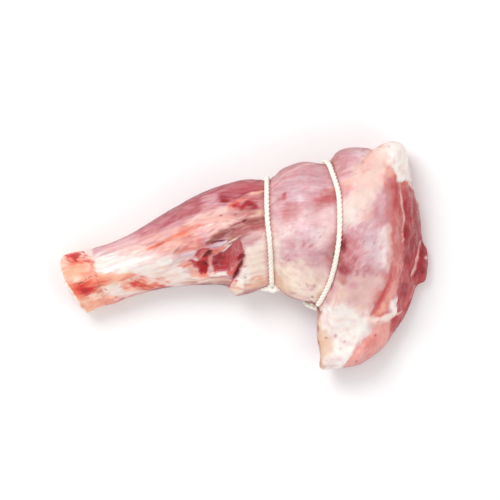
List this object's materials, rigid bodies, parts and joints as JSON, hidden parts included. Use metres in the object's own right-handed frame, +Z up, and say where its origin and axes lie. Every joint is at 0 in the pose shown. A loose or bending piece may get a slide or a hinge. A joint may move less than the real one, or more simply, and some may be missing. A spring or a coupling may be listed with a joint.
{
  "type": "raw lamb shank",
  "caption": "Raw lamb shank: a sawn leg bone in pink meat and fascia, tied round its meaty end with kitchen twine.",
  "frame": {"origin": "middle of the bounding box on the plane that the shank lies on", "axes": "+X from the sawn bone end to the cut meaty end, +Z up, away from the surface it lies on"},
  "size_m": [0.2212, 0.136, 0.0587],
  "materials": {
    "meat": "moist",
    "bone": "satin",
    "twine": "matte"
  },
  "bodies": {
    "root": {"meat": "meat", "bone": "bone", "twine_slim_side": "twine", "twine_meaty_side": "twine"}
  },
  "joints": []
}
